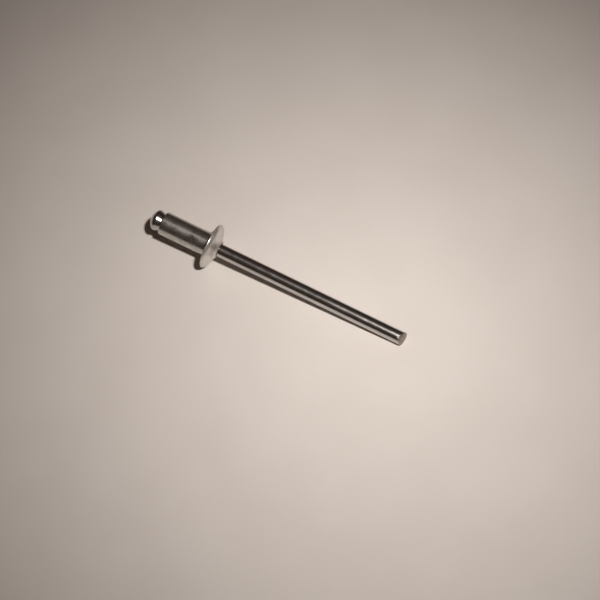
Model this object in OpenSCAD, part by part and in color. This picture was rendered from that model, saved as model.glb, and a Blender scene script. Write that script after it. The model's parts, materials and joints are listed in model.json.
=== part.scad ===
// Blind rivet before setting: a soft aluminium body with a domed flange on a steel pulling mandrel.
// It lies as it comes to rest, on the rim of its flange and the end of its stem, blind end in the air.

/* [Rivet body] */
// Outside diameter of the tubular body
body_d = 3.2; // [2.8:0.05:4]
// Length of the body from the flange's bearing face to its blind end
body_len = 7.08; // [5:0.02:14]
// Rounding of the outer edge at the blind end
body_end_round = 0.2; // [0.05:0.01:0.3]
// Fillet between the body and the flange's bearing face
neck_fillet = 0.15; // [0.05:0.01:0.3]

/* [Flange] */
// Diameter of the flange
flange_d = 6.26; // [5.4:0.02:8]
// Height of the flange's rim, from the bearing face to where the dome starts
rim_h = 0.4; // [0.32:0.01:0.6]
// Rise of the dome above the rim
dome_h = 0.74; // [0.4:0.01:1]
// Rounding where the rim runs into the dome
rim_front_round = 0.28; // [0.1:0.01:0.32]
// Rounding of the rim's edge at the bearing face
rim_back_round = 0.08; // [0.04:0.01:0.1]

/* [Collar] */
// Diameter of the collar's foot on the dome
collar_foot_d = 2.9; // [2.6:0.05:4]
// Diameter of the collar's top
collar_top_d = 2.2; // [2.1:0.01:2.5]
// Height of the collar above the crown of the dome
collar_h = 0.22; // [0.12:0.01:0.5]
// Rounding of the collar's top edge
collar_round = 0.1; // [0.03:0.01:0.12]
// Length of the mouth that is coined down on the stem
grip_len = 0.6; // [0.3:0.05:1]

/* [Mandrel] */
// Diameter of the stem
stem_d = 1.8; // [1.5:0.02:1.9]
// Length of the stem that stands out of the collar
stem_len = 27.2; // [20:0.02:40]
// Diameter of the mandrel's head
head_d = 2.86; // [2.6:0.02:2.88]
// Length of the head from its seat on the body to the top of its dome
head_len = 1.72; // [1.4:0.02:2.6]
// Rise of the head's dome
head_dome_h = 0.7; // [0.4:0.02:0.9]
// Rounding of the head's shoulder
head_round = 0.4; // [0.1:0.02:0.5]
// Length over which the head narrows towards its seat
head_taper_len = 0.75; // [0.3:0.01:0.8]
// Width of the flat ring with which the head sits on the body
head_seat_w = 0.1; // [0.04:0.01:0.14]
// Size of the cone under the head that starts the body's flare
seat_cone = 0.12; // [0.08:0.01:0.16]

/* [Break neck] */
// Smallest diameter of the break neck, inside the body
neck_d = 1.22; // [0.9:0.02:1.4]
// Width of the break neck at the stem's surface
neck_w = 0.6; // [0.4:0.02:1]
// Distance of the break neck from the head's seat
neck_pos = 1.7; // [1.2:0.05:3]

/* [Sheared end] */
// Slant of the sheared end face, in degrees
shear_angle = 16; // [12:1:30]
// Turn of the slant about the stem, from straight up towards the near side, in degrees
shear_turn = 28; // [0:1:60]
// Radius of the roll-over where the shear blade entered the stem
shear_roll = 0.7; // [0.2:0.02:0.8]

/* [Fits] */
// Gap all round between the stem and the bore of the body
bore_clearance = 0.06; // [0.03:0.01:0.1]
// Gap all round between the stem and the coined mouth
grip_clearance = 0.02; // [0.01:0.005:0.03]

/* [Hidden] */
$fn = 96;
arc_over = 1.003;

aluminium_grey = [0.76, 0.75, 0.73];
steel_grey = [0.5, 0.5, 0.5];

body_r = body_d / 2;
flange_r = flange_d / 2;
stem_r = stem_d / 2;
head_r = head_d / 2;
bore_r = stem_r + bore_clearance;
grip_r = stem_r + grip_clearance;
sink_r = bore_r + seat_cone;
head_seat_r = sink_r + head_seat_w;

// Heights along the axis: 0 is the bearing face, and the stem points up.
seat_z = -body_len;
crown_z = rim_h + dome_h;
collar_z = crown_z + collar_h;
end_z = collar_z + stem_len;
collar_foot_z = cap_centre(flange_r, rim_h, dome_h)
    + sqrt(pow(cap_radius(flange_r, dome_h), 2) - pow(collar_foot_d / 2, 2));

// What touches the floor, as [radius, height]: the centre of the rim's rounding, and the stem's sheared edge.
rim_rest = cap_round(flange_r, rim_h, dome_h, rim_front_round);
end_rest = [stem_r, end_z - stem_r * (1 - cos(shear_turn)) * tan(shear_angle)];

// Lie of the axis: the stem's end dips until both touch the floor.
rest_run = end_rest.y - rim_rest.y;
rest_drop = rim_rest.x - end_rest.x;
rest_dip = atan2(rest_drop, rest_run) + asin(rim_front_round / norm([rest_run, rest_drop]));
rest_height = rim_rest.y * sin(rest_dip) + rim_rest.x * cos(rest_dip) + rim_front_round;

// Reach of the lying rivet to either side of its bearing face, which centres it on the origin.
head_cap_r = cap_radius(head_r, head_dome_h);
head_reach = (seat_z - head_len + head_cap_r) * cos(rest_dip) - head_cap_r;
end_slant = stem_r * tan(shear_angle) * cos(rest_dip);
end_lean = stem_r * sin(rest_dip);
end_reach = end_z * cos(rest_dip) - end_slant
    + sqrt(pow(end_slant, 2) + pow(end_lean, 2) - 2 * end_slant * end_lean * cos(shear_turn));

// Radius of the arc that rises this far over a disc of this radius.
function cap_radius(disc_r, rise) = (pow(disc_r, 2) + pow(rise, 2)) / (2 * rise);

// Height of that arc's centre over the disc's foot.
function cap_centre(disc_r, side_h, rise) = side_h + rise - cap_radius(disc_r, rise);

// Centre of the rounding that runs from the disc's side into its arc.
function cap_round(disc_r, side_h, rise, round_r) =
    [disc_r - round_r,
     cap_centre(disc_r, side_h, rise)
        + sqrt(pow(cap_radius(disc_r, rise) - round_r, 2) - pow(disc_r - round_r, 2))];

// What a rounding takes off a corner, between the directions of the two sides' normals.
// The arc is a touch too large to be tangent, so that it crosses each side at a clear point.
module corner_waste(centre, from, to, round_r) {
    reach = 2 * round_r;
    tip = reach / cos((to - from) / 2);
    middle = (from + to) / 2;
    translate(centre)
        difference() {
            polygon([[0, 0], reach * [cos(from), sin(from)], tip * [cos(middle), sin(middle)],
                     reach * [cos(to), sin(to)]]);
            circle(round_r * arc_over);
        }
}

// Half section of a disc with an arched top and a rounded edge.
module domed_section(disc_r, side_h, rise, round_r) {
    arc_z = cap_centre(disc_r, side_h, rise);
    edge = cap_round(disc_r, side_h, rise, round_r);
    difference() {
        intersection() {
            square([disc_r, side_h + 2 * rise]);
            translate([0, arc_z])
                circle(cap_radius(disc_r, rise));
        }
        corner_waste(edge, 0, atan2(edge.y - arc_z, edge.x), round_r);
    }
}

// Half section of the fillet between the body and the bearing face.
module neck_fillet_section() {
    difference() {
        translate([body_r - neck_fillet, -neck_fillet])
            square(2 * neck_fillet);
        translate([body_r + neck_fillet, -neck_fillet])
            circle(neck_fillet);
    }
}

// Half section of the collar that is coined up round the stem.
module collar_section() {
    foot_r = collar_foot_d / 2;
    top_r = collar_top_d / 2;
    side = atan2(foot_r - top_r, collar_z - collar_foot_z);
    difference() {
        polygon([[0, rim_h], [foot_r, rim_h], [foot_r, collar_foot_z], [top_r, collar_z], [0, collar_z]]);
        corner_waste([top_r - collar_round * (1 - sin(side)) / cos(side), collar_z - collar_round],
                     side, 90, collar_round);
    }
}

// Half section of the stepped bore, with a countersink for the head's cone and a tight mouth.
module bore_section() {
    past = body_r;
    grip_z = collar_z - grip_len;
    polygon([[0, seat_z - past], [sink_r, seat_z - past], [sink_r, seat_z], [bore_r, seat_z + seat_cone],
             [bore_r, grip_z - bore_r + grip_r], [grip_r, grip_z], [grip_r, collar_z + past],
             [0, collar_z + past]]);
}

// Half section of the whole body.
module body_section() {
    difference() {
        union() {
            domed_section(flange_r, rim_h, dome_h, rim_front_round);
            translate([0, seat_z])
                square([body_r, body_len + rim_h]);
            neck_fillet_section();
            collar_section();
        }
        corner_waste([flange_r - rim_back_round, rim_back_round], -90, 0, rim_back_round);
        corner_waste([body_r - body_end_round, seat_z + body_end_round], -90, 0, body_end_round);
        bore_section();
    }
}

// Half section of the mandrel, with its stem still square at the end.
module mandrel_section() {
    difference() {
        union() {
            translate([0, seat_z])
                mirror([0, 1])
                    domed_section(head_r, head_len - head_dome_h, head_dome_h, head_round);
            translate([0, seat_z - head_taper_len])
                square([stem_r, end_z - seat_z + head_taper_len]);
            polygon([[0, seat_z - head_taper_len], [stem_r + seat_cone, seat_z - head_taper_len],
                     [stem_r + seat_cone, seat_z], [stem_r, seat_z + seat_cone], [0, seat_z + seat_cone]]);
        }
        head_taper_section();
        break_neck_section();
    }
}

// What narrows the head towards its seat.
module head_taper_section() {
    run = head_r - head_seat_r;
    translate([head_seat_r, seat_z])
        polygon([[-run, head_taper_len], [2 * run, -2 * head_taper_len], [2 * run, head_taper_len]]);
}

// Half section of the groove at which the stem snaps off.
module break_neck_section() {
    middle_z = seat_z + neck_pos;
    depth = stem_r - neck_d / 2;
    polygon([[stem_r - depth, middle_z], [stem_r + depth, middle_z - neck_w],
             [stem_r + depth, middle_z + neck_w]]);
}

// What the shear takes off the stem's end: the slanted face and the rolled edge.
module shear_waste() {
    face = 90 + shear_angle;
    roll_x = shear_roll - stem_r;
    roll_z = end_z - (shear_roll + (stem_r - roll_x) * sin(shear_angle)) / cos(shear_angle);
    rotate([90, 0, 0])
        linear_extrude(2 * stem_d, center = true) {
            translate([stem_r, end_z])
                rotate(shear_angle)
                    translate([-2 * stem_d, 0])
                        square([3 * stem_d, stem_d]);
            corner_waste([roll_x, roll_z], face, 180, shear_roll);
        }
}

// Lays a piece that is drawn along the upright axis down on the floor, centred on the origin.
module lay_down() {
    translate([-(head_reach + end_reach) / 2, 0, rest_height])
        rotate([0, 90 + rest_dip, 0])
            children();
}

module rivet_body() {
    color(aluminium_grey)
        lay_down()
            rotate_extrude()
                body_section();
}

module mandrel() {
    color(steel_grey)
        lay_down()
            rotate(shear_turn)
                difference() {
                    rotate_extrude()
                        mandrel_section();
                    shear_waste();
                }
}

rivet_body();
mandrel();
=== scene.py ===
"""The looks of the blind rivet: a cold-formed aluminium body on a plated steel mandrel.

Lengths are in millimetres along the rivet's own axis, with 0 at the flange's bearing face and the stem
pointing up, as the part's source draws it. The rest pose then lays both pieces down on a pale floor,
in the row frame.
"""

import json
import logging
import math
from dataclasses import dataclass, field
from enum import Enum
from typing import Any, Callable, Optional, Sequence, Union

import bpy
from mathutils import Matrix, Vector, noise


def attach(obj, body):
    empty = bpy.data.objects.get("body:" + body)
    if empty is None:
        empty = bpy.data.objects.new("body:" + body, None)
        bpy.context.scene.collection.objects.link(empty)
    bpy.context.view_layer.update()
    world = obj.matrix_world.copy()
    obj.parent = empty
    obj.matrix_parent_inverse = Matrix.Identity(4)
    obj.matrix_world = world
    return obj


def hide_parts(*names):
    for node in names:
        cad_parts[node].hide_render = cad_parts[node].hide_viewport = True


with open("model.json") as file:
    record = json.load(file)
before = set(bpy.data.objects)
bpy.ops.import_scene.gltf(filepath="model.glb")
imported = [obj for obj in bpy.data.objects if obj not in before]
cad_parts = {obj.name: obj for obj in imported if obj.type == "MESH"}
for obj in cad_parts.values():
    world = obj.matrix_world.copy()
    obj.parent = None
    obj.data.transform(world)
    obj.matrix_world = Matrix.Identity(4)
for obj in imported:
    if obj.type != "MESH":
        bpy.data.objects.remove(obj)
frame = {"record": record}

LOG = logging.getLogger("rivet")
MM = 0.001

Colour = tuple[float, float, float, float]
Point = tuple[float, float]
Triple = tuple[float, float, float]
Ring = list[Triple]
Value = Union[float, Sequence[float], "Wire"]


class Zone(Enum):
    """The material slots of the mandrel's mesh."""

    DRAWN = 0
    SHEARED = 1


class Wire:
    """An output of a shader node, on which sums can be written as Python expressions."""

    def __init__(self, graph: "Graph", socket: bpy.types.NodeSocket) -> None:
        """Wraps one output socket of a graph."""
        self.graph = graph
        self.socket = socket

    def math(self, operation: str, first: Value, second: Value = 0.0) -> "Wire":
        """Adds a Math node.

        Args:
            operation: Blender's name of the operation.
            first: the left-hand value.
            second: the right-hand value, if the operation takes one.

        Returns:
            The node's result.
        """
        return self.graph.node("ShaderNodeMath", {"operation": operation}, {0: first, 1: second})

    def __add__(self, other: Value) -> "Wire":
        """This value plus another."""
        return self.math("ADD", self, other)

    def __radd__(self, other: Value) -> "Wire":
        """Another value plus this one."""
        return self.math("ADD", other, self)

    def __sub__(self, other: Value) -> "Wire":
        """This value less another."""
        return self.math("SUBTRACT", self, other)

    def __rsub__(self, other: Value) -> "Wire":
        """Another value less this one."""
        return self.math("SUBTRACT", other, self)

    def __mul__(self, other: Value) -> "Wire":
        """This value times another."""
        return self.math("MULTIPLY", self, other)

    def __rmul__(self, other: Value) -> "Wire":
        """Another value times this one."""
        return self.math("MULTIPLY", other, self)

    def __pow__(self, other: Value) -> "Wire":
        """This value to a power."""
        return self.math("POWER", self, other)

    def absolute(self) -> "Wire":
        """This value without its sign."""
        return self.math("ABSOLUTE", self)

    def ramp(self, low: float, high: float) -> "Wire":
        """Rises smoothly from 0 to 1 as this value goes from low to high.

        Args:
            low: the value at which the rise begins; above high, the ramp falls instead.
            high: the value at which the rise ends.

        Returns:
            The ramp, from 0 to 1.
        """
        return self.graph.node("ShaderNodeMapRange", {"interpolation_type": "SMOOTHSTEP"},
                               {"Value": self, "From Min": low, "From Max": high})


class Graph:
    """The node tree of one material or world."""

    def __init__(self, tree: bpy.types.NodeTree) -> None:
        """Empties a node tree and keeps it."""
        tree.nodes.clear()
        self.tree = tree

    def add(self, kind: str, settings: Optional[dict[str, Any]] = None,
            inputs: Optional[dict[Union[int, str], Value]] = None) -> bpy.types.Node:
        """Adds any node.

        Args:
            kind: Blender's name of the node type.
            settings: the node's own settings, which are set first.
            inputs: for each socket, a constant that is set on it or a wire that is linked to it.

        Returns:
            The node.
        """
        node = self.tree.nodes.new(kind)
        for name, value in (settings or {}).items():
            setattr(node, name, value)
        for key, value in (inputs or {}).items():
            if isinstance(value, Wire):
                self.tree.links.new(value.socket, node.inputs[key])
            else:
                node.inputs[key].default_value = value
        return node

    def node(self, kind: str, settings: Optional[dict[str, Any]] = None,
             inputs: Optional[dict[Union[int, str], Value]] = None, output: Union[int, str] = 0) -> Wire:
        """Adds any node and gives one of its outputs as a wire."""
        return Wire(self, self.add(kind, settings, inputs).outputs[output])

    def stretch(self, vector: Wire, factors: Sequence[float]) -> Wire:
        """A vector with each of its coordinates multiplied."""
        return self.node("ShaderNodeVectorMath", {"operation": "MULTIPLY"}, {0: vector, 1: factors})

    def mix(self, factor: Wire, first: Value, second: Value) -> Wire:
        """A colour that goes from the first to the second as the factor goes from 0 to 1."""
        return self.node("ShaderNodeMix", {"data_type": "RGBA"}, {0: factor, 6: first, 7: second}, 2)

    def grain(self, vector: Wire, scale: float, detail: float = 2.0, roughness: float = 0.5) -> Wire:
        """Soft noise about 0.5 over a vector."""
        inputs = {"Vector": vector, "Scale": scale, "Detail": detail, "Roughness": roughness}
        return self.node("ShaderNodeTexNoise", None, inputs)

    def own_place(self) -> Wire:
        """The place of the shaded point in the piece's own frame, in millimetres."""
        place = self.node("ShaderNodeTexCoord", None, None, "Object")
        return self.stretch(place, (1 / MM, 1 / MM, 1 / MM))

    def axes(self, place: Wire) -> tuple[Wire, Wire, Wire]:
        """The three coordinates of a vector."""
        split = self.add("ShaderNodeSeparateXYZ", None, {0: place})
        return Wire(self, split.outputs[0]), Wire(self, split.outputs[1]), Wire(self, split.outputs[2])

    def relief(self, height: Wire, strength: float, depth: float) -> Wire:
        """A normal that follows a height.

        Args:
            height: the height, from 0 to 1.
            strength: how much of the relief shows, from 0 to 1.
            depth: the height's full range, in millimetres.

        Returns:
            The normal.
        """
        inputs = {"Strength": strength, "Distance": depth * MM, "Height": height}
        return self.node("ShaderNodeBump", None, inputs)

    def metal(self, inputs: dict[Union[int, str], Value]) -> None:
        """Ends the tree in a principled surface with these inputs."""
        surface = self.node("ShaderNodeBsdfPrincipled", None, inputs)
        self.add("ShaderNodeOutputMaterial", None, {"Surface": surface})


def new_material(name: str) -> tuple[bpy.types.Material, Graph]:
    """Makes an empty material.

    Args:
        name: the material's name.

    Returns:
        The material and the graph of its nodes.
    """
    material = bpy.data.materials.new(name)
    material.use_nodes = True
    return material, Graph(material.node_tree)


@dataclass(frozen=True)
class AluminiumFinish:
    """Bright cold-formed aluminium with lengthwise rubbing lines, soft handling marks, dirt flecks, and
    painted shade in the crease, the collar's mouth and on the rim.
    """

    # Colours of the tube where it is bright and where it is worn, of the flange, and of the painted shade
    # and the dirt flecks
    bright: Colour = (0.585, 0.573, 0.552, 1)
    dull: Colour = (0.46, 0.448, 0.432, 1)
    burnished: Colour = (0.74, 0.72, 0.69, 1)
    shade_and_grime: Colour = (0.30, 0.255, 0.21, 1)
    # Roughness of fresh and of worn metal, and what the dome, the tube, flecks and the painted shade add to
    # it
    smooth: float = 0.19
    scuffed: float = 0.33
    tumbled: float = 0.17
    rubbed: float = 0.035
    fleck_rough: float = 0.1
    shade_rough: float = 0.15
    # How much of the rim and of the tube is covered by a matt film
    matt: float = 0.26
    film: float = 0.022
    # How much painted shade darkens the crease under the flange, the collar's mouth and the rim, and how
    # much dirt lies in flecks
    crease_shade: float = 0.6
    mouth_shade: float = 0.75
    rim_shade: float = 0.3
    fleck_dirt: float = 0.12
    # How much the painted shade varies from place to place
    patchiness: float = 0.6
    # How worn the metal is on the whole, and how much that varies with the clouds and the lines
    wear: float = 0.4
    cloud_wear: float = 2.6
    line_wear: float = 0.5
    # How much of the flange's burnish the wear takes off
    flange_wear: float = 0.3
    # How close together the marks lie, as repeats in a millimetre
    cloud_scale: float = 0.9
    line_scale: float = 1.6
    line_stretch: Triple = (9.0, 9.0, 0.5)
    fleck_scale: float = 7.0
    hump_scale: float = 2.6
    # The noise levels between which a fleck comes out
    fleck_range: Point = (0.62, 0.72)
    # Where the crease, the mouth, the flange and the dome begin and end, in millimetres
    crease_width: float = 0.35
    crease_core: float = 0.02
    crease_reach: float = 0.4
    mouth_depth: float = 0.35
    mouth_width: float = 0.5
    flange_blend: float = 0.1
    dome_range: Point = (0.25, 0.6)
    # The relief: the lines' share of it, how much of it shows, and its depth in millimetres
    line_relief: float = 0.6
    relief_share: float = 0.5
    relief_depth: float = 0.017

    def material(self, tube_r: float, collar_r: float, collar_height: float) -> bpy.types.Material:
        """Builds the finish.

        Args:
            tube_r: the radius of the tube, in millimetres.
            collar_r: the radius of the collar's foot, in millimetres.
            collar_height: where the collar's top lies, in millimetres.

        Returns:
            The material.
        """
        material, graph = new_material("aluminium_cold_formed")
        place = graph.own_place()
        across, along, height = graph.axes(place)
        radius = (across ** 2.0 + along ** 2.0) ** 0.5
        clouds = graph.grain(place, self.cloud_scale, detail=3.0)
        drawn_out = graph.stretch(place, self.line_stretch)
        lines = graph.grain(drawn_out, self.line_scale, detail=3.0, roughness=0.6)
        flecks = graph.grain(place, self.fleck_scale).ramp(*self.fleck_range)
        humps = graph.grain(place, self.hump_scale)
        # Where painted shade falls: the crease under the flange and the mouth of the collar round the stem
        under = radius.ramp(tube_r + self.crease_reach, tube_r)
        crease = height.absolute().ramp(self.crease_width, self.crease_core) * under
        inside = radius.ramp(collar_r, collar_r - self.mouth_width)
        mouth = height.ramp(collar_height - self.mouth_depth, collar_height) * inside
        flange = height.ramp(-self.flange_blend, self.flange_blend)
        dome = height.ramp(*self.dome_range)
        rim = flange - dome
        tube = 1.0 - flange
        # Painted shade: the crease under the flange, the collar's mouth and the rim are darkened and
        # browned, patchily
        painted_shade = crease * self.crease_shade + mouth * self.mouth_shade + rim * self.rim_shade
        painted_shade = painted_shade * ((clouds - 0.5) * self.patchiness + 1.0)
        worn = (clouds - 0.5) * self.cloud_wear + (lines - 0.5) * self.line_wear + self.wear
        handled = graph.mix(worn.ramp(0.0, 1.0), self.bright, self.dull)
        clean = graph.mix(flange * (1.0 - worn * self.flange_wear), handled, self.burnished)
        colour = graph.mix((painted_shade + flecks * self.fleck_dirt).ramp(0.0, 1.0), clean, self.shade_and_grime)
        roughness = worn * (self.scuffed - self.smooth) + self.smooth
        roughness = roughness + flecks * self.fleck_rough + painted_shade * self.shade_rough
        roughness = roughness + dome * self.tumbled + tube * self.rubbed
        metallic = 1.0 - rim * self.matt - tube * self.film
        uneven = lines * self.line_relief + humps * (1.0 - self.line_relief)
        normal = graph.relief(uneven, self.relief_share, self.relief_depth)
        graph.metal({"Base Color": colour, "Metallic": metallic, "Roughness": roughness, "Normal": normal})
        return material


@dataclass(frozen=True)
class SteelFinish:
    """Plated drawn steel wire with fine lengthwise lines and a few tarnished clouds."""

    # Colours of the plating where it is bright, worn and tarnished
    bright: Colour = (0.60, 0.595, 0.59, 1)
    dull: Colour = (0.45, 0.44, 0.435, 1)
    tarnish: Colour = (0.34, 0.28, 0.24, 1)
    # Roughness of fresh and of worn plating, and what pits and tarnish at the tip add to it
    smooth: float = 0.15
    scuffed: float = 0.28
    pit_rough: float = 0.12
    tip_rough: float = 0.2
    # How tarnished the pits and the tip are, and how far the tip's tarnish reaches, in millimetres
    pit_tarnish: float = 0.35
    tip_tarnish: float = 0.55
    tip_reach: float = 1.1
    # How worn the plating is on the whole, and how much that varies with the clouds and the lines
    wear: float = 0.42
    cloud_wear: float = 1.2
    line_wear: float = 0.9
    # How close together the marks lie, as repeats in a millimetre
    cloud_scale: float = 0.8
    line_scale: float = 1.5
    line_stretch: Triple = (16.0, 16.0, 0.35)
    pit_scale: float = 9.0
    # The noise levels between which a pit comes out
    pit_range: Point = (0.64, 0.74)
    # The relief: the lines' share of it, how much of it shows, and its depth in millimetres
    line_relief: float = 0.7
    relief_share: float = 0.4
    relief_depth: float = 0.008

    def material(self, end_height: float) -> bpy.types.Material:
        """Builds the finish.

        Args:
            end_height: where the sheared end reaches furthest, in millimetres.

        Returns:
            The material.
        """
        material, graph = new_material("steel_drawn")
        place = graph.own_place()
        height = graph.axes(place)[2]
        clouds = graph.grain(place, self.cloud_scale, detail=3.0)
        drawn_out = graph.stretch(place, self.line_stretch)
        lines = graph.grain(drawn_out, self.line_scale, detail=3.0, roughness=0.65)
        pits = graph.grain(place, self.pit_scale).ramp(*self.pit_range)
        worn = (clouds - 0.5) * self.cloud_wear + (lines - 0.5) * self.line_wear + self.wear
        tip = height.ramp(end_height - self.tip_reach, end_height) * self.tip_tarnish
        clean = graph.mix(worn.ramp(0.0, 1.0), self.bright, self.dull)
        colour = graph.mix((pits * self.pit_tarnish + tip).ramp(0.0, 1.0), clean, self.tarnish)
        roughness = worn * (self.scuffed - self.smooth) + self.smooth
        roughness = roughness + pits * self.pit_rough + tip * self.tip_rough
        uneven = lines * self.line_relief + clouds * (1.0 - self.line_relief)
        normal = graph.relief(uneven, self.relief_share, self.relief_depth)
        graph.metal({"Base Color": colour, "Metallic": 1.0, "Roughness": roughness, "Normal": normal})
        return material


@dataclass(frozen=True)
class ShearedFinish:
    """The torn matt steel of the stem's sheared end."""

    fresh: Colour = (0.36, 0.325, 0.30, 1)
    stained: Colour = (0.22, 0.185, 0.165, 1)
    metallic: float = 0.85
    roughness: float = 0.5
    # How much the tearing changes the roughness and the tone, and the noise levels of the two tones
    tear_rough: float = 0.25
    tear_tone: float = 0.6
    tone_range: Point = (0.3, 0.75)
    # How close together the marks lie, as repeats in a millimetre
    tear_scale: float = 2.0
    tear_stretch: Triple = (3.0, 12.0, 3.0)
    blotch_scale: float = 3.0
    # The relief: how much of it shows, and its depth in millimetres
    relief_share: float = 0.6
    relief_depth: float = 0.02

    def material(self) -> bpy.types.Material:
        """Builds the finish.

        Returns:
            The material.
        """
        material, graph = new_material("steel_sheared")
        place = graph.own_place()
        torn_place = graph.stretch(place, self.tear_stretch)
        tear = graph.grain(torn_place, self.tear_scale, detail=3.0, roughness=0.6)
        blotch = graph.grain(place, self.blotch_scale)
        tone = (blotch + (tear - 0.5) * self.tear_tone).ramp(*self.tone_range)
        colour = graph.mix(tone, self.fresh, self.stained)
        roughness = (tear - 0.5) * self.tear_rough + self.roughness
        normal = graph.relief(tear, self.relief_share, self.relief_depth)
        graph.metal({"Base Color": colour, "Metallic": self.metallic, "Roughness": roughness,
                     "Normal": normal})
        return material


@dataclass(frozen=True)
class FloorFinish:
    """Pale warm card with a faint mottle."""

    pale: Colour = (0.69, 0.654, 0.619, 1)
    deep: Colour = (0.672, 0.634, 0.599, 1)
    roughness: float = 0.75
    gloss: float = 0.25
    # How much the fibres change the tone, and the noise levels of the two tones
    fibre_tone: float = 0.25
    tone_range: Point = (0.35, 0.65)
    # How close together the marks lie, as repeats in a millimetre
    mottle_scale: float = 0.09
    fibre_scale: float = 2.2
    # The relief: how much of it shows, and its depth in millimetres
    relief_share: float = 0.15
    relief_depth: float = 0.03

    def material(self) -> bpy.types.Material:
        """Builds the finish.

        Returns:
            The material.
        """
        material, graph = new_material("floor_card")
        place = graph.own_place()
        mottle = graph.grain(place, self.mottle_scale, detail=3.0)
        fibre = graph.grain(place, self.fibre_scale)
        tone = (mottle + (fibre - 0.5) * self.fibre_tone).ramp(*self.tone_range)
        colour = graph.mix(tone, self.pale, self.deep)
        normal = graph.relief(fibre, self.relief_share, self.relief_depth)
        graph.metal({"Base Color": colour, "Metallic": 0.0, "Roughness": self.roughness,
                     "Specular IOR Level": self.gloss, "Normal": normal})
        return material


class Profile:
    """A half section that is drawn point by point, as (radius, height) in millimetres."""

    # How far the extra points lie from a line's ends, in millimetres and as a share of a short line
    EDGE = 0.012
    EDGE_SHARE = 0.25
    # Points closer than this are one point, in millimetres
    SAME_POINT = 1e-4

    def __init__(self, radius: float, height: float) -> None:
        """Starts the half section at a point."""
        self.points: list[Point] = [(radius, height)]

    def line(self, radius: float, height: float, parts: int = 1) -> None:
        """Draws a straight line, with a point close to each end that keeps the corners crisp.

        Args:
            radius: the radius of the line's end.
            height: the height of the line's end.
            parts: how many equal parts the line is cut into.
        """
        start_r, start_h = self.points[-1]
        length = math.hypot(radius - start_r, height - start_h)
        near = min(self.EDGE / length, self.EDGE_SHARE)
        shares = [near] + [part / parts for part in range(1, parts)] + [1 - near, 1.0]
        for share in shares:
            self.points.append((start_r + (radius - start_r) * share, start_h + (height - start_h) * share))

    def arc(self, centre: Point, size: float, start: float, end: float, parts: int) -> None:
        """Draws an arc.

        Args:
            centre: the arc's centre, as (radius, height).
            size: the arc's radius.
            start: the angle at its start, in degrees from straight outwards.
            end: the angle at its end.
            parts: how many parts the arc is cut into.
        """
        for step in range(parts + 1):
            turn = math.radians(start + (end - start) * step / parts)
            point = (centre[0] + size * math.cos(turn), centre[1] + size * math.sin(turn))
            if math.dist(point, self.points[-1]) > self.SAME_POINT:
                self.points.append(point)


def cap_radius(disc_r: float, rise: float) -> float:
    """The radius of the arc that rises this far over a disc."""
    return (disc_r ** 2 + rise ** 2) / (2 * rise)


def clamp(value: float) -> float:
    """A value held between 0 and 1."""
    return min(1.0, max(0.0, value))


@dataclass
class RestPose:
    """Where the rivet's own frame lies in the row frame, read from the record's mounts."""

    matrix: Matrix = field(init=False)

    def __post_init__(self) -> None:
        """Works the matrix out from the axis of the stem and the plane of the bearing face."""
        mounts = {mount["name"]: mount for mount in frame["record"]["mounts"]}
        axis = Vector(mounts["mandrel_stem"]["axis"]).normalized()
        on_axis = Vector(mounts["mandrel_stem"]["pos_m"])
        face = Vector(mounts["bearing_face"]["pos_m"])
        origin = on_axis + axis * (face - on_axis).dot(axis)
        side = Vector((0.0, 1.0, 0.0))
        down = side.cross(axis)
        self.matrix = Matrix((down, side, axis)).transposed().to_4x4()
        self.matrix.translation = origin

    def place(self, name: str, mesh: bpy.types.Mesh) -> bpy.types.Object:
        """Makes an object of a mesh and lays it down.

        Args:
            name: the object's name.
            mesh: a mesh in the rivet's own frame, in metres.

        Returns:
            The object, in the scene.
        """
        piece = bpy.data.objects.new(name, mesh)
        bpy.context.scene.collection.objects.link(piece)
        piece.matrix_world = self.matrix
        bpy.context.view_layer.update()
        return piece


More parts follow.
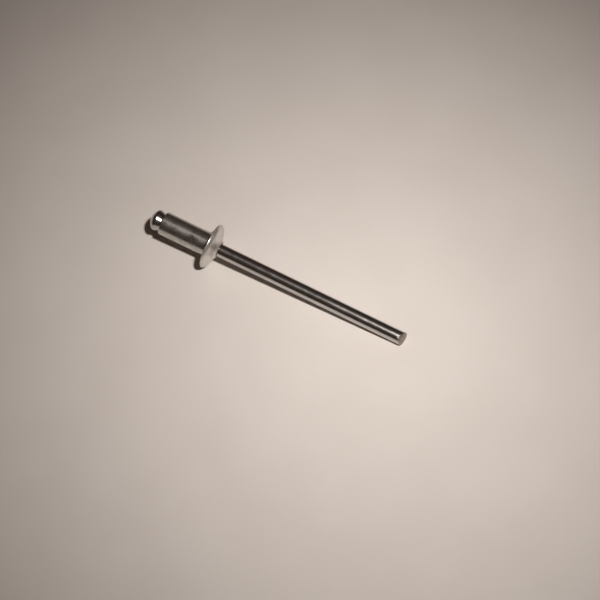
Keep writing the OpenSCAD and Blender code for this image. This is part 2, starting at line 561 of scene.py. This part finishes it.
class Lathe:
    """Turns a half section into a mesh, with the slight unevenness of formed metal."""

    # How many humps there are along the axis for each one round it
    LENGTHWISE = 0.6
    # The finer humps: their share, how much finer they are, and where their noise is taken
    FINE_SHARE = 0.4
    FINE_SCALE = 2.7
    FINE_SHIFT = Vector((7.1, 3.3, 1.9))

    def __init__(self, segments: int, uneven: float, coarseness: float) -> None:
        """Sets how fine and how uneven the turned mesh is.

        Args:
            segments: the number of parts round the axis.
            uneven: the height of the unevenness, in millimetres.
            coarseness: the size of its humps, in millimetres.
        """
        self.segments = segments
        self.uneven = uneven
        self.coarseness = coarseness

    def ripple(self, x: float, y: float, z: float) -> float:
        """How far the surface lies out of true at a place.

        Args:
            x: the place's first coordinate across the axis, in millimetres.
            y: its second coordinate across the axis.
            z: its height along the axis.

        Returns:
            The distance outwards, in millimetres.
        """
        place = Vector((x, y, z * self.LENGTHWISE)) / self.coarseness
        fine = noise.noise(place * self.FINE_SCALE + self.FINE_SHIFT)
        return self.uneven * (noise.noise(place) + self.FINE_SHARE * fine)

    def ring(self, radius: float, height: Callable[[float], float]) -> Ring:
        """One ring of points.

        Args:
            radius: the ring's radius, in millimetres.
            height: gives the height at an angle, in radians.

        Returns:
            The points, in metres.
        """
        points = []
        for step in range(self.segments):
            turn = 2 * math.pi * step / self.segments
            out_x = math.cos(turn)
            out_y = math.sin(turn)
            z = height(turn)
            reach = radius
            if radius > 0:
                reach += self.ripple(radius * out_x, radius * out_y, z)
            points.append((reach * out_x * MM, reach * out_y * MM, z * MM))
        return points

    def turned(self, section: Profile) -> list[Ring]:
        """The rings of a half section that is turned about the axis."""
        return [self.ring(radius, lambda turn, z=height: z) for radius, height in section.points]

    def mesh(self, name: str, rings: list[Ring], closed: bool,
             zones: Optional[list[int]] = None) -> bpy.types.Mesh:
        """Joins rings of points into a smooth mesh.

        Args:
            name: the mesh's name.
            rings: the rings in order.
            closed: whether the last ring joins the first; if not, both are points on the axis.
            zones: the material slot of each band between two rings.

        Returns:
            The mesh.
        """
        count = self.segments
        points = []
        starts = []
        for index, ring in enumerate(rings):
            starts.append(len(points))
            tip = not closed and index in (0, len(rings) - 1)
            points += ring[:1] if tip else ring
        faces = []
        slots = []
        bands = len(rings) if closed else len(rings) - 1
        for band in range(bands):
            low, high = starts[band], starts[(band + 1) % len(rings)]
            for step in range(count):
                after = (step + 1) % count
                if not closed and band == 0:
                    faces.append((low, high + after, high + step))
                elif not closed and band == bands - 1:
                    faces.append((low + step, low + after, high))
                else:
                    faces.append((low + step, low + after, high + after, high + step))
                slots.append(zones[band] if zones else 0)
        mesh = bpy.data.meshes.new(name)
        mesh.from_pydata(points, [], faces)
        mesh.polygons.foreach_set("use_smooth", [True] * len(faces))
        mesh.polygons.foreach_set("material_index", slots)
        mesh.update()
        return mesh


@dataclass
class RivetBody:
    """The aluminium body: a tube with a domed flange and a collar that is coined up round the stem."""

    body_r: float = 1.6
    length: float = 7.08
    end_round: float = 0.2
    neck_fillet: float = 0.15
    flange_r: float = 3.13
    flange_h: float = 1.26
    edge_round: float = 0.15
    edge_lean: float = 26.0
    shoulder_round: float = 0.95
    collar_foot_r: float = 1.45
    collar_top_r: float = 1.1
    collar_h: float = 0.12
    collar_round: float = 0.1
    grip_len: float = 0.6
    bore_r: float = 0.96
    grip_r: float = 0.92
    countersink: float = 0.12
    # How fine the mesh is, and its unevenness
    segments: int = 224
    uneven: float = 0.004
    coarseness: float = 1.3
    finish: AluminiumFinish = field(default_factory=AluminiumFinish)

    @property
    def collar_height(self) -> float:
        """The height of the collar's top over the bearing face."""
        return self.flange_h + self.collar_h

    def half_section(self) -> Profile:
        """Draws the closed half section.

        Returns:
            The half section, from the blind end round the outside and back through the bore.
        """
        seat = -self.length
        lean = math.radians(self.edge_lean)
        edge = (self.flange_r - self.edge_round, self.edge_round)
        inset = self.shoulder_round - self.edge_round
        shoulder_r = edge[0] - inset * math.cos(lean)
        shoulder_z = edge[1] - inset * math.sin(lean)
        drop = self.flange_h - shoulder_z
        rise = drop - self.shoulder_round
        dome_r = (shoulder_r ** 2 + drop ** 2 - self.shoulder_round ** 2) / (2 * rise)
        dome_z = self.flange_h - dome_r
        dome_turn = math.degrees(math.atan2(shoulder_z - dome_z, shoulder_r))
        foot_z = dome_z + math.sqrt(dome_r ** 2 - self.collar_foot_r ** 2)
        foot_turn = math.degrees(math.atan2(foot_z - dome_z, self.collar_foot_r))
        slope = math.atan2(self.collar_foot_r - self.collar_top_r, self.collar_height - foot_z)
        top_r = self.collar_top_r - self.collar_round * (1 - math.sin(slope)) / math.cos(slope)
        top_z = self.collar_height - self.collar_round
        side_r = top_r + self.collar_round * math.cos(slope)
        side_z = top_z + self.collar_round * math.sin(slope)
        end_r = self.body_r - self.end_round
        grip_z = self.collar_height - self.grip_len
        path = Profile(self.bore_r + self.countersink, seat)
        path.line(end_r, seat, parts=4)
        path.arc((end_r, seat + self.end_round), self.end_round, -90, 0, parts=12)
        path.line(self.body_r, -self.neck_fillet, parts=36)
        path.arc((self.body_r + self.neck_fillet, -self.neck_fillet), self.neck_fillet, 180, 90, parts=8)
        path.line(edge[0], 0, parts=10)
        path.arc(edge, self.edge_round, -90, self.edge_lean, parts=14)
        path.arc((shoulder_r, shoulder_z), self.shoulder_round, self.edge_lean, dome_turn, parts=12)
        path.arc((0, dome_z), dome_r, dome_turn, foot_turn, parts=24)
        path.line(side_r, side_z, parts=3)
        path.arc((top_r, top_z), self.collar_round, math.degrees(slope), 90, parts=6)
        path.line(self.grip_r, self.collar_height, parts=2)
        path.line(self.grip_r, grip_z, parts=2)
        path.line(self.bore_r, grip_z - self.bore_r + self.grip_r)
        path.line(self.bore_r, seat + self.countersink, parts=2)
        path.line(self.bore_r + self.countersink, seat)
        path.points.pop()
        return path

    def build(self, pose: RestPose) -> bpy.types.Object:
        """Turns the body, lays it down and dresses it.

        Args:
            pose: where the rivet lies.

        Returns:
            The finished piece.
        """
        lathe = Lathe(self.segments, self.uneven, self.coarseness)
        rings = lathe.turned(self.half_section())
        piece = pose.place("formed_rivet_body", lathe.mesh("formed_rivet_body", rings, closed=True))
        dress = self.finish.material(self.body_r, self.collar_foot_r, self.collar_height)
        piece.data.materials.append(dress)
        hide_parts("rivet_body")
        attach(piece, "root")
        return piece


@dataclass
class Mandrel:
    """The steel mandrel: an upset head, a drawn stem with a break neck and a sheared end."""

    stem_r: float = 0.9
    seat: float = -7.08
    end: float = 28.56
    head_r: float = 1.43
    head_len: float = 1.72
    head_dome_h: float = 0.7
    head_round: float = 0.4
    head_taper_len: float = 0.75
    head_seat_r: float = 1.18
    seat_cone: float = 0.12
    neck_r: float = 0.61
    neck_w: float = 0.6
    neck_pos: float = 1.7
    shear_angle: float = 16.0
    shear_turn: float = 28.0
    shear_roll: float = 0.7
    shear_reach: float = 3.0
    # How deep the face's far half is torn, in millimetres
    tear: float = 0.012
    # Where the tearing sets in across the middle and fades out at the edge, as shares of the stem's radius
    tear_blend: float = 0.5
    tear_edge: float = 0.93
    tear_fade: float = 0.1
    # How fine the tearing is along and across the slant, and how fine and strong its finer part is
    tear_across: float = 3.0
    tear_aside: float = 7.0
    tear_fine: float = 2.6
    tear_fine_share: float = 0.5
    # How fine the mesh is, and its unevenness
    segments: int = 160
    uneven: float = 0.002
    coarseness: float = 1.1
    drawn: SteelFinish = field(default_factory=SteelFinish)
    sheared: ShearedFinish = field(default_factory=ShearedFinish)

    def half_section(self) -> Profile:
        """Draws the half section of the head and the plain stem.

        Returns:
            The half section, from the top of the head to where the sheared end begins.
        """
        dome_r = cap_radius(self.head_r, self.head_dome_h)
        apex = self.seat - self.head_len
        dome_z = apex + dome_r
        round_r = self.head_r - self.head_round
        round_z = dome_z - math.sqrt((dome_r - self.head_round) ** 2 - round_r ** 2)
        turn = math.degrees(math.atan2(round_z - dome_z, round_r))
        neck = self.seat + self.neck_pos
        shoulder = self.neck_w / 2
        path = Profile(0, apex)
        path.arc((0, dome_z), dome_r, -90, turn, parts=28)
        path.arc((round_r, round_z), self.head_round, turn, 0, parts=14)
        path.line(self.head_r, self.seat - self.head_taper_len, parts=2)
        path.line(self.head_seat_r, self.seat, parts=8)
        path.line(self.stem_r + self.seat_cone, self.seat)
        path.line(self.stem_r, self.seat + self.seat_cone)
        path.line(self.stem_r, neck - shoulder)
        path.line(self.neck_r, neck)
        path.line(self.stem_r, neck + shoulder)
        path.line(self.stem_r, self.end - self.shear_reach, parts=120)
        return path

    def end_height(self, across: float) -> float:
        """The height of the sheared end's surface.

        Args:
            across: the distance from the axis along the slant, in millimetres, positive at the long side.

        Returns:
            The height over the bearing face, in millimetres.
        """
        slant = math.radians(self.shear_angle)
        face_out = math.cos(math.pi / 2 + slant)
        height = self.end - (self.stem_r - across) * math.tan(slant)
        roll_x = self.shear_roll - self.stem_r
        roll_z = self.end - (self.shear_roll + (self.stem_r - roll_x) * math.sin(slant)) / math.cos(slant)
        if across < roll_x + self.shear_roll * face_out:
            height = roll_z + math.sqrt(max(0.0, self.shear_roll ** 2 - (across - roll_x) ** 2))
        return height

    def torn(self, across: float, aside: float) -> float:
        """How far the torn half of the end stands out of true at a place.

        Args:
            across: the distance from the axis along the slant, in millimetres, positive at the long side.
            aside: the distance from the axis across the slant, in millimetres.

        Returns:
            The height over the plain face, in millimetres.
        """
        far = across / self.stem_r
        out = math.hypot(across, aside) / self.stem_r
        share = clamp(far / self.tear_blend + 0.5)
        rim = clamp((self.tear_edge - out) / self.tear_fade)
        place = Vector((across * self.tear_across, aside * self.tear_aside, 0.0))
        fine = noise.noise(place * self.tear_fine)
        return self.tear * share * rim * (noise.noise(place) + self.tear_fine_share * fine)

    def wall_shares(self) -> list[float]:
        """How far along the sheared wall its rings lie, closer together at the edge."""
        return [step / 20 for step in range(1, 20)] + [0.975, 0.988, 0.995]

    def face_shares(self) -> list[float]:
        """The radii of the sheared face's rings as shares of the stem's, closer together at the edge."""
        return [1.0, 0.985, 0.965, 0.94, 0.91] + [0.88 - 0.04 * step for step in range(22)]

    def end_rings(self, lathe: Lathe) -> list[Ring]:
        """The rings of the sheared end, from the end of the plain stem to the middle of the face.

        Args:
            lathe: makes the rings.

        Returns:
            The rings in order.
        """
        turn_off = math.radians(self.shear_turn)
        start = self.end - self.shear_reach

        def along_wall(share: float) -> Callable[[float], float]:
            """The height at each angle of a ring that has come this share of the way to the edge."""
            def height(turn: float) -> float:
                """The wall's height at one angle."""
                edge = self.end_height(self.stem_r * math.cos(turn - turn_off))
                return start + share * (edge - start)
            return height

        def on_face(radius: float) -> Callable[[float], float]:
            """The height at each angle of a ring on the face."""
            def height(turn: float) -> float:
                """The face's height at one angle."""
                across = radius * math.cos(turn - turn_off)
                return self.end_height(across) + self.torn(across, radius * math.sin(turn - turn_off))
            return height

        rings = [lathe.ring(self.stem_r, along_wall(share)) for share in self.wall_shares()]
        for radius in [self.stem_r * share for share in self.face_shares()] + [0.0]:
            rings.append(lathe.ring(radius, on_face(radius)))
        return rings

    def build(self, pose: RestPose) -> bpy.types.Object:
        """Turns the mandrel, cuts its end, lays it down and dresses it.

        Args:
            pose: where the rivet lies.

        Returns:
            The finished piece.
        """
        lathe = Lathe(self.segments, self.uneven, self.coarseness)
        rings = lathe.turned(self.half_section())
        drawn_bands = len(rings) + len(self.wall_shares()) - 1
        rings += self.end_rings(lathe)
        sheared_bands = len(rings) - 1 - drawn_bands
        zones = [Zone.DRAWN.value] * drawn_bands + [Zone.SHEARED.value] * sheared_bands
        piece = pose.place("drawn_mandrel", lathe.mesh("drawn_mandrel", rings, closed=False, zones=zones))
        piece.data.materials.append(self.drawn.material(self.end))
        piece.data.materials.append(self.sheared.material())
        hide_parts("mandrel")
        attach(piece, "root")
        return piece


@dataclass
class Studio:
    """The floor, the lamps and the dim room round them. Places are in millimetres in the row frame."""

    floor_half: float = 400.0
    key_place: Triple = (108.0, -43.0, 300.0)
    key_aim: Triple = (12.0, 1.0, 0.0)
    key_power: float = 0.0291
    key_size: float = 24.0
    key_spread: float = 30.0
    key_colour: Triple = (1.0, 0.93, 0.88)
    box_place: Triple = (-35.0, 4.4, 113.0)
    box_aim: Triple = (-18.0, 0.0, 4.0)
    box_size: float = 10.0
    box_power: float = 0.0009
    box_colour: Triple = (1.0, 0.93, 0.88)
    room: Colour = (0.037, 0.0235, 0.0165, 1)
    finish: FloorFinish = field(default_factory=FloorFinish)

    def lay_floor(self) -> bpy.types.Object:
        """Lays the plain floor that the rivet rests on.

        Returns:
            The floor.
        """
        half = self.floor_half * MM
        mesh = bpy.data.meshes.new("floor")
        corners = [(-half, -half, 0), (half, -half, 0), (half, half, 0), (-half, half, 0)]
        mesh.from_pydata(corners, [], [(0, 1, 2, 3)])
        floor = bpy.data.objects.new("floor", mesh)
        bpy.context.scene.collection.objects.link(floor)
        mesh.materials.append(self.finish.material())
        return floor

    def hang(self, lamp: bpy.types.Light, place: Vector, aim: Vector) -> bpy.types.Object:
        """Hangs a lamp.

        Args:
            lamp: the lamp.
            place: where it hangs, in millimetres.
            aim: what it points at, in millimetres.

        Returns:
            The lamp's object.
        """
        holder = bpy.data.objects.new(lamp.name, lamp)
        bpy.context.scene.collection.objects.link(holder)
        holder.location = place * MM
        holder.rotation_euler = (place - aim).to_track_quat("Z", "Y").to_euler()
        return holder

    def light(self) -> None:
        """Hangs the key lamp and the small soft box, and dims the room."""
        key = bpy.data.lights.new("key_lamp", "AREA")
        key.shape = "DISK"
        key.energy = self.key_power
        key.size = self.key_size * MM
        key.spread = math.radians(self.key_spread)
        key.color = self.key_colour
        self.hang(key, Vector(self.key_place), Vector(self.key_aim))
        box = bpy.data.lights.new("soft_box", "AREA")
        box.energy = self.box_power
        box.size = self.box_size * MM
        box.color = self.box_colour
        self.hang(box, Vector(self.box_place), Vector(self.box_aim))
        world = bpy.data.worlds.new("dim_room")
        world.use_nodes = True
        graph = Graph(world.node_tree)
        glow = graph.node("ShaderNodeBackground", None, {"Color": self.room, "Strength": 1.0})
        graph.add("ShaderNodeOutputWorld", None, {"Surface": glow})
        bpy.context.scene.world = world


@dataclass
class PhotoCamera:
    """The camera at the photograph's angle, with its aim in millimetres in the row frame."""

    azimuth: float = 26.4
    elevation: float = 64.4
    distance: float = 185.0
    aim: Triple = (3.806, -0.724, 0.452)
    lens: float = 84.0
    sensor: float = 36.0
    clip_start: float = 10.0

    def place(self) -> bpy.types.Object:
        """Places the camera and makes it the scene's.

        Returns:
            The camera's object.
        """
        turn = math.radians(self.azimuth)
        rise = math.radians(self.elevation)
        back = Vector((math.sin(turn) * math.cos(rise), -math.cos(turn) * math.cos(rise), math.sin(rise)))
        right = Vector((math.cos(turn), math.sin(turn), 0.0))
        optics = bpy.data.cameras.new("photo_camera")
        optics.lens = self.lens
        optics.sensor_width = self.sensor
        optics.clip_start = self.clip_start * MM
        camera = bpy.data.objects.new("photo_camera", optics)
        bpy.context.scene.collection.objects.link(camera)
        matrix = Matrix((right, back.cross(right), back)).transposed().to_4x4()
        matrix.translation = (Vector(self.aim) + back * self.distance) * MM
        camera.matrix_world = matrix
        bpy.context.scene.camera = camera
        return camera


def main() -> None:
    """Builds the pieces in order, the studio and the camera."""
    logging.basicConfig(level=logging.INFO, format="%(name)s: %(message)s")
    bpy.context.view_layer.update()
    pose = RestPose()
    for maker in (RivetBody(), Mandrel()):
        piece = maker.build(pose)
        LOG.info("%s built with %d faces", piece.name, len(piece.data.polygons))
    studio = Studio()
    LOG.info("%s laid", studio.lay_floor().name)
    studio.light()
    LOG.info("%s placed", PhotoCamera().place().name)
    bpy.context.scene.view_settings.view_transform = "Standard"


if __name__ == "__main__":
    main()
